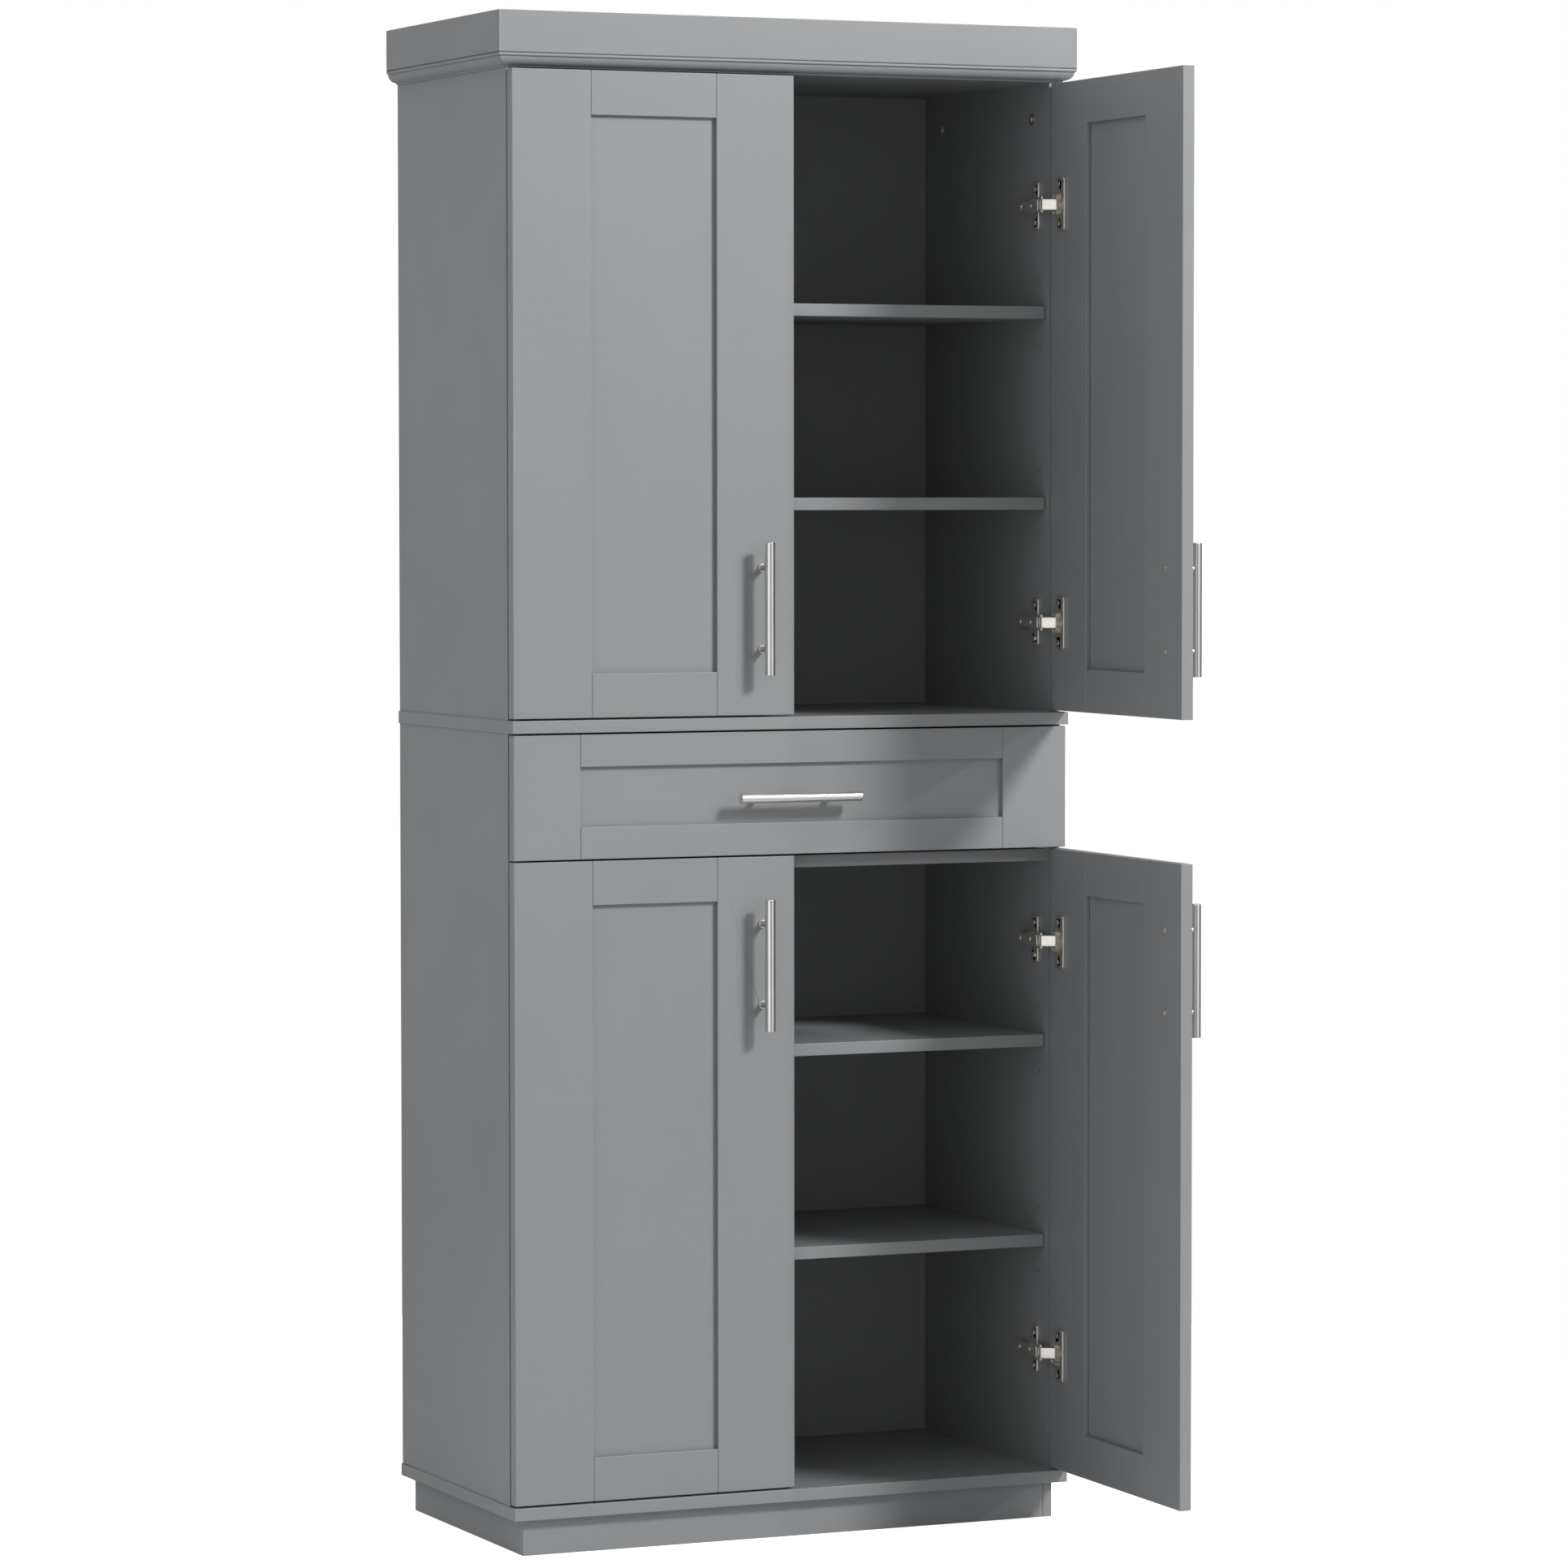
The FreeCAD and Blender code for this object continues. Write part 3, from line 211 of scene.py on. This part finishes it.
def add_studio():
    """A soft studio: white behind the object, graded light on it, and lamps to mirror."""
    world = bpy.data.worlds.new("studio")
    world.use_nodes = True
    bpy.context.scene.world = world
    tree = world.node_tree
    tree.nodes.clear()
    web = Web(tree)
    direction = tree.nodes.new("ShaderNodeTexCoord").outputs["Generated"]
    along = tree.nodes.new("ShaderNodeSeparateXYZ")
    tree.links.new(direction, along.inputs[0])
    matt = web.sum(
        web.step(along.outputs["Z"], -HORIZON, HORIZON, MATT_BELOW, MATT_ABOVE),
        web.step(web.towards(direction, MATT_FILL_TOWARDS), *MATT_FILL_SPREAD, 0.0, MATT_FILL))
    gloss = web.sum(
        web.step(along.outputs["Z"], *GLOSS_TOP_SPREAD, GLOSS_ROOM, GLOSS_ROOM + GLOSS_TOP),
        web.step(along.outputs["Y"], *GLOSS_BEHIND_SPREAD, 0.0, GLOSS_BEHIND))
    for lamp, edge, full, brightness in GLOSS_LAMPS:
        gloss = web.sum(gloss, web.step(web.towards(direction, lamp), edge, full, 0.0, brightness))
    path = tree.nodes.new("ShaderNodeLightPath")
    given = web.choose(path.outputs["Is Glossy Ray"], web.glow(matt), web.glow(gloss))
    shown = web.choose(path.outputs["Is Camera Ray"], given, web.glow(None))
    output = tree.nodes.new("ShaderNodeOutputWorld")
    tree.links.new(shown, output.inputs["Surface"])
    bpy.context.scene.view_settings.view_transform = "Standard"


def add_floor():
    """A round pale floor, as white for the camera as the studio around it."""
    mesh = bpy.data.meshes.new("floor")
    shape = bmesh.new()
    bmesh.ops.create_circle(shape, cap_ends=True, radius=FLOOR_RADIUS, segments=FLOOR_SIDES)
    shape.to_mesh(mesh)
    shape.free()
    floor = new_object("floor", mesh)
    material = bpy.data.materials.new("floor")
    material.use_nodes = True
    tree = material.node_tree
    web = Web(tree)
    seen = tree.nodes["Principled BSDF"]
    seen.inputs["Base Color"].default_value = (FLOOR_SEEN, FLOOR_SEEN, FLOOR_SEEN, 1.0)
    seen.inputs["Roughness"].default_value = FLOOR_ROUGHNESS
    seen.inputs["Emission Color"].default_value = WHITE
    seen.inputs["Emission Strength"].default_value = FLOOR_LIFT
    given = web.node("ShaderNodeBsdfDiffuse", Color=(FLOOR_GIVEN, FLOOR_GIVEN, FLOOR_GIVEN, 1.0))
    path = tree.nodes.new("ShaderNodeLightPath")
    shown = web.choose(path.outputs["Is Camera Ray"], given.outputs[0], seen.outputs[0])
    tree.links.new(shown, tree.nodes["Material Output"].inputs["Surface"])
    floor.data.materials.append(material)


# ---- materials ------------------------------------------------------------------------------

PAINTED_SHADE_DARKEST = 0.06        # painted shade: its darkest tone, where other faces crowd close, and the openness at which the painted shade starts and ends
CROWDED = 0.24
OPEN = 0.46


class Finish:
    """A procedural material: one Principled shader, with helpers for the nodes that feed it."""

    def __init__(self, name):
        self.material = bpy.data.materials.new(name)
        self.material.use_nodes = True
        self.tree = self.material.node_tree
        self.shader = self.tree.nodes["Principled BSDF"]
        coordinates = self.tree.nodes.new("ShaderNodeTexCoord")
        self.place = coordinates.outputs["Object"]

    def set(self, **values):
        for name, value in values.items():
            self.shader.inputs[name.replace("_", " ")].default_value = value
        return self

    def link(self, output, socket):
        self.tree.links.new(output, self.shader.inputs[socket])

    def stretched(self, scale):
        """The piece's own coordinates, scaled by axis."""
        node = self.tree.nodes.new("ShaderNodeMapping")
        node.inputs["Scale"].default_value = scale
        self.tree.links.new(self.place, node.inputs["Vector"])
        return node.outputs[0]

    def noise(self, scale, detail=2.0, stretch=None, roughness=0.5):
        node = self.tree.nodes.new("ShaderNodeTexNoise")
        node.inputs["Scale"].default_value = scale
        node.inputs["Detail"].default_value = detail
        node.inputs["Roughness"].default_value = roughness
        place = self.stretched(stretch) if stretch else self.place
        self.tree.links.new(place, node.inputs["Vector"])
        return node.outputs["Fac"]

    def ramp(self, factor, low, high, start=0.3, end=0.7):
        """A value or colour that runs from low to high as factor goes from start to end."""
        node = self.tree.nodes.new("ShaderNodeValToRGB")
        for element, place, shade in zip(node.color_ramp.elements, (start, end), (low, high)):
            element.position = place
            colour = (shade, shade, shade) if isinstance(shade, float) else shade
            element.color = (*colour, 1.0)
        self.tree.links.new(factor, node.inputs["Fac"])
        return node.outputs["Color"]

    def mixed(self, first, second, share, mode="MIX"):
        node = self.tree.nodes.new("ShaderNodeMix")
        node.data_type = "RGBA"
        node.blend_type = mode
        if isinstance(share, float):
            node.inputs["Factor"].default_value = share
        else:
            self.tree.links.new(share, node.inputs["Factor"])
        sockets = [s for s in node.inputs if s.type == "RGBA"]
        for socket, source in zip(sockets, (first, second)):
            self.tree.links.new(source, socket)
        return [s for s in node.outputs if s.type == "RGBA"][0]

    def painted_hollow_shade(self, reach):
        """Painted shade: white in the open, down to dark grey where other faces crowd within reach,
        standing in for the shade in recesses.
        """
        node = self.tree.nodes.new("ShaderNodeAmbientOcclusion")
        node.samples = 8
        node.inputs["Distance"].default_value = reach
        return self.ramp(node.outputs["AO"], PAINTED_SHADE_DARKEST, 1.0, CROWDED, OPEN)

    def rounded(self, radius):
        """The surface's direction, as if its edges were rounded by this much."""
        node = self.tree.nodes.new("ShaderNodeBevel")
        node.samples = 6
        node.inputs["Radius"].default_value = radius
        return node.outputs["Normal"]

    def bump(self, height, depth, under=None):
        """Relief of the given depth in metres, over the relief that is already there."""
        node = self.tree.nodes.new("ShaderNodeBump")
        node.inputs["Distance"].default_value = depth
        self.tree.links.new(height, node.inputs["Height"])
        if under:
            self.tree.links.new(under, node.inputs["Normal"])
        return node.outputs["Normal"]


METAL_LOW = 0.9             # a metal's darkest tone against its shade
METAL_WEAR = 0.12           # and how far its roughness rises above its polish
STEEL = (0.74, 0.735, 0.72)
STEEL_POLISH = 0.17
STEEL_DEPTH = 0.00001
UPRIGHT_GRAIN = (2600.0, 2600.0, 12.0)
LEVEL_GRAIN = (12.0, 2600.0, 2600.0)


def painted_board():
    """Satin grey paint: a faint cloudiness, the roller's fine stipple and a linen-fine grain."""
    finish = Finish("painted_board")
    cloud = finish.ramp(finish.noise(2.2, 3.0), (0.232, 0.240, 0.247), (0.246, 0.254, 0.262))
    across = finish.noise(1.0, 3.0, stretch=(18.0, 18.0, 1400.0))
    along = finish.noise(1.0, 3.0, stretch=(1400.0, 1400.0, 18.0))
    weave = finish.mixed(finish.ramp(across, 0.0, 1.0), finish.ramp(along, 0.0, 1.0), 0.5)
    tone = finish.ramp(weave, 0.965, 1.0)
    finish.link(finish.mixed(cloud, tone, 1.0, "MULTIPLY"), "Base Color")
    finish.link(finish.ramp(finish.noise(9.0, 4.0), 0.40, 0.50), "Roughness")
    stipple = finish.bump(finish.noise(650.0, 2.0), 0.00006)
    finish.link(finish.bump(weave, 0.00003, stipple), "Normal")
    return finish.set(IOR=1.47).material


def hardboard():
    """Thin fibreboard: the same grey paint, a little flatter, over a fine fibrous surface."""
    finish = Finish("hardboard")
    cloud = finish.ramp(finish.noise(3.0, 4.0), (0.215, 0.222, 0.228), (0.236, 0.243, 0.250))
    fibre = finish.noise(260.0, 5.0, roughness=0.7)
    tone = finish.ramp(fibre, 0.93, 1.0)
    finish.link(finish.mixed(cloud, tone, 1.0, "MULTIPLY"), "Base Color")
    finish.link(finish.ramp(finish.noise(14.0, 3.0), 0.55, 0.68), "Roughness")
    finish.link(finish.bump(fibre, 0.0001), "Normal")
    return finish.material


def brushed_metal(name, shade, polish, grain, depth, hollow_shade_reach=None, edge=None, metal=1.0):
    """Satin metal: polish is its least roughness, grain its scale by axis, and depth the grain's.

    hollow_shade_reach is the reach of the painted shade that darkens the colour in recesses, and
    edge the radius that its edges seem to have.
    """
    finish = Finish(name)
    lines = finish.noise(1.0, 4.0, stretch=grain, roughness=0.6)
    blotch = finish.noise(60.0, 3.0)
    low = tuple(METAL_LOW * part for part in shade)
    tone = finish.ramp(
        finish.mixed(finish.ramp(lines, 0.0, 1.0), finish.ramp(blotch, 0.0, 1.0), 0.3), low, shade)
    # Painted shade: the tone is darkened where other faces crowd near, standing in for the shade in
    # recesses.
    if hollow_shade_reach:
        tone = finish.mixed(tone, finish.painted_hollow_shade(hollow_shade_reach), 1.0, "MULTIPLY")
    finish.link(tone, "Base Color")
    finish.link(finish.ramp(lines, polish, polish + METAL_WEAR), "Roughness")
    finish.link(finish.bump(lines, depth, finish.rounded(edge) if edge else None), "Normal")
    return finish.set(Metallic=metal).material


def runner_enamel():
    """Pale powder coat with its orange-peel surface."""
    finish = Finish("runner_enamel")
    cloud = finish.ramp(finish.noise(30.0, 3.0), (0.66, 0.66, 0.64), (0.72, 0.72, 0.70))
    finish.link(cloud, "Base Color")
    finish.link(finish.ramp(finish.noise(80.0, 2.0), 0.34, 0.46), "Roughness")
    finish.link(finish.bump(finish.noise(900.0, 2.0), 0.00008), "Normal")
    return finish.material


def nylon():
    """Off-white moulded nylon."""
    finish = Finish("nylon")
    cloud = finish.ramp(finish.noise(120.0, 3.0), (0.70, 0.69, 0.64), (0.77, 0.76, 0.72))
    finish.link(cloud, "Base Color")
    finish.link(finish.ramp(finish.noise(300.0, 2.0), 0.42, 0.55), "Roughness")
    finish.link(finish.bump(finish.noise(1500.0, 2.0), 0.00004), "Normal")
    return finish.set(IOR=1.53).material


finishes = {
    "painted_board": painted_board(),
    "hardboard": hardboard(),
    "handle_steel": brushed_metal("handle_steel", STEEL, STEEL_POLISH, UPRIGHT_GRAIN, STEEL_DEPTH),
    "handle_steel_level": brushed_metal(
        "handle_steel_level", STEEL, STEEL_POLISH, LEVEL_GRAIN, STEEL_DEPTH),
    # Painted shade: the nickel's colour darkens in recesses, where other faces crowd within 10 mm.
    "hinge_nickel": brushed_metal(
        "hinge_nickel", (0.80, 0.77, 0.72), 0.16, (90.0, 90.0, 90.0), 0.000003, hollow_shade_reach=0.010,
        edge=0.0024, metal=0.80),
    "fitting_zinc": brushed_metal(
        "fitting_zinc", (0.74, 0.74, 0.74), 0.32, (300.0, 300.0, 300.0), 0.00001, edge=0.0022),
    "runner_enamel": runner_enamel(),
    "nylon": nylon(),
}


# ---- CAD nodes: finish and rounded edges ----------------------------------------------------

EDGE_ROUND = {
    "painted_board": 0.9 * MM,
    "hardboard": 0.2 * MM,
    "handle_steel": 0.15 * MM,
    "hinge_nickel": 0.2 * MM,
    "fitting_zinc": 0.15 * MM,
    "runner_enamel": 0.15 * MM,
    "nylon": 0.2 * MM,
}
# The side panels are full of holes, between which rounding leaves folds: they keep sharp edges.
DRILLED = ("lower_side_left", "lower_side_right", "upper_side_left", "upper_side_right")
SHARP = math.radians(36)    # an edge that turns more than this is rounded
FLAT = math.radians(0.5)    # and one that turns less than this goes


def soften(node, width):
    """Joins a solid's faces along their edges and rounds those edges, without touching its mesh."""
    for face in node.data.polygons:
        face.use_smooth = True
    weld = node.modifiers.new("join", "WELD")
    weld.merge_threshold = TOUCHING
    flat = node.modifiers.new("flat", "DECIMATE")
    flat.decimate_type = "DISSOLVE"
    flat.angle_limit = FLAT
    edge = node.modifiers.new("edge", "BEVEL")
    edge.width = width
    edge.segments = 2
    edge.limit_method = "ANGLE"
    edge.angle_limit = SHARP
    edge.use_clamp_overlap = False
    shading = node.modifiers.new("shading", "WEIGHTED_NORMAL")
    shading.keep_sharp = True


def finish_nodes():
    """Gives every CAD node its finish; the drawer's bar is the steel with its grain laid level."""
    slots = {part["node"]: part["material_slot"] for part in frame["record"]["subparts"]}
    for name, node in nodes.items():
        slot = slots[name]
        look = "handle_steel_level" if name == "drawer_handle" else slot
        for place in node.material_slots:
            place.material = finishes[look]
        if name not in DRILLED:
            soften(node, EDGE_ROUND[slot])


# ---- screw faces and adjusting screws -------------------------------------------------------

DOORS = ("upper_left", "upper_right", "lower_left", "lower_right")
SCREWED = [
    "hinge_plates", *(door + "_handle" for door in DOORS), "drawer_handle",
    *(door + "_hinge_cups" for door in DOORS)]
HEAD_RADIUS = (2.5 * MM, 4.0 * MM)   # a round flat of such a radius is a screw's head
ROUND_SHARE = 0.95          # how much of a circle's area a many-sided round flat has at least
LEVEL = 0.9999              # triangles of one flat: how alike they face, and how far off its plane
SAME_PLANE = 0.02 * MM
RINGS = 10
SPOKES = 48
DOME = 0.26                 # rise of a screw's face, for a radius of 1
CROSS_REACH = 0.62          # the cross recess: length and half width of its arms, for a radius of 1
CROSS_HALF = 0.13
CROSS_SLOPE = 0.08
CROSS_FLOOR = 0.02
FACE_LIFT = 0.015           # how far the face stands proud of the CAD head
RIM_UNDER = 0.02            # and how far its rim goes under it
FIRST_TURN = 0.4            # each screw's cross is turned further than the last one's, in radians
NEXT_TURN = 1.1
ARM_SCREW_RADIUS = 3.3 * MM
ARM_SCREW_DOME = 0.42
ARM_SCREWS_FROM_REAR = (6.0 * MM, 33.0 * MM)


def patches_of(node):
    """The node's faces in the frame, as lists that hang together over edges of just two faces."""
    shape = bmesh.new()
    shape.from_mesh(node.data)
    shape.transform(node.matrix_world)
    bmesh.ops.remove_doubles(shape, verts=shape.verts, dist=TOUCHING)
    shape.faces.ensure_lookup_table()
    waiting = set(range(len(shape.faces)))
    patches = []
    while waiting:
        front = [waiting.pop()]
        faces = []
        while front:
            face = shape.faces[front.pop()]
            faces.append([corner.co.copy() for corner in face.verts])
            edges = [edge for edge in face.edges if len(edge.link_faces) == 2]
            near = [other.index for edge in edges for other in edge.link_faces]
            fresh = waiting.intersection(near)
            waiting -= fresh
            front.extend(fresh)
        patches.append(faces)
    shape.free()
    return patches


def box_of(points):
    low = Vector([min(p[i] for p in points) for i in range(3)])
    high = Vector([max(p[i] for p in points) for i in range(3)])
    return low, high


def flats_of(faces):
    """The flat areas of a patch, each as [area, outward direction, corners]."""
    flats = []
    for corners in faces:
        across = (corners[1] - corners[0]).cross(corners[2] - corners[0])
        if across.length == 0:
            continue
        facing = across.normalized()
        for flat in flats:
            off_plane = abs(facing.dot(corners[0] - flat[2][0]))
            if facing.dot(flat[1]) > LEVEL and off_plane < SAME_PLANE:
                break
        else:
            flat = [0.0, facing, []]
            flats.append(flat)
        flat[0] += across.length / 2
        flat[2].extend(corners)
    return flats


def head_of(faces):
    """(centre, outward direction, radius) if a patch's widest flat is a screw's head, or None."""
    area, facing, points = max(flats_of(faces), key=lambda flat: flat[0])
    low, high = box_of(points)
    radius = max(high - low) / 2
    if HEAD_RADIUS[0] < radius < HEAD_RADIUS[1] and area > ROUND_SHARE * math.pi * radius ** 2:
        return (low + high) / 2, facing, radius
    return None


def add_screw_face(shape, centre, facing, radius, dome, turn):
    """A domed face with a cross recess: a polar grid whose height drops inside the cross."""
    place = Matrix.Translation(centre) @ facing.to_track_quat("Z", "Y").to_matrix().to_4x4()
    place = place @ Matrix.Rotation(turn, 4, "Z")

    def height(x, y):
        rise = dome * (1.0 - (x * x + y * y) ** 1.5)
        inside = max(cross_share(x, y), cross_share(y, x))
        return rise * (1.0 - inside) + CROSS_FLOOR * inside + FACE_LIFT

    def cross_share(along, across):
        past = max(abs(along) - CROSS_REACH, abs(across) - CROSS_HALF, 0.0)
        return max(0.0, 1.0 - past / CROSS_SLOPE)

    def corner(out, spoke, rise=None):
        angle = 2 * math.pi * spoke / SPOKES
        x, y = out * math.cos(angle), out * math.sin(angle)
        z = height(x, y) if rise is None else rise
        return shape.verts.new(place @ (radius * Vector((x, y, z))))

    middle = corner(0.0, 0)
    inner = None
    for ring in range(1, RINGS + 1):
        outer = [corner(ring / RINGS, spoke) for spoke in range(SPOKES)]
        for spoke in range(SPOKES):
            after = (spoke + 1) % SPOKES
            if inner is None:
                face = shape.faces.new((middle, outer[spoke], outer[after]))
            else:
                face = shape.faces.new((inner[spoke], outer[spoke], outer[after], inner[after]))
            face.smooth = True
        inner = outer
    rim = [corner(1.0, spoke, -RIM_UNDER) for spoke in range(SPOKES)]
    for spoke in range(SPOKES):
        after = (spoke + 1) % SPOKES
        shape.faces.new((inner[spoke], rim[spoke], rim[after], inner[after])).smooth = True


def add_piece(name, shape, look, body):
    """Makes a piece of a finished bmesh, which is used up, and lets it ride on a body."""
    mesh = bpy.data.meshes.new(name)
    shape.to_mesh(mesh)
    shape.free()
    mesh.materials.append(finishes[look])
    piece = new_object(name, mesh)
    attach(piece, body)


def add_screw_faces():
    """A piece for each screwed node: a face on every screw's head."""
    for name in SCREWED:
        node = nodes[name]
        shape = bmesh.new()
        heads = [head for head in map(head_of, patches_of(node)) if head]
        for count, (centre, facing, radius) in enumerate(sorted(heads, key=lambda head: head[0].z)):
            add_screw_face(shape, centre, facing, radius, DOME, FIRST_TURN + NEXT_TURN * count)
        add_piece(name + "_screw_faces", shape, "hinge_nickel", body_of(node)[0])


def add_arm_screws():
    """The two adjusting screws in the top of each hinge arm."""
    node = nodes["hinge_arms"]
    shape = bmesh.new()
    for faces in patches_of(node):
        inward = -1.0 if faces[0][0].x > 0 else 1.0
        tops = [flat for flat in flats_of(faces) if flat[1].x * inward > LEVEL]
        _, facing, points = max(tops, key=lambda flat: flat[0])
        low, high = box_of(points)
        for step in ARM_SCREWS_FROM_REAR:
            centre = Vector((low.x, high.y - step, (low.z + high.z) / 2))
            add_screw_face(shape, centre, facing, ARM_SCREW_RADIUS, ARM_SCREW_DOME, step / MM)
    add_piece("hinge_arm_screws", shape, "hinge_nickel", body_of(node)[0])


add_camera()
add_lights()
add_studio()
add_floor()
finish_nodes()
add_screw_faces()
add_arm_screws()
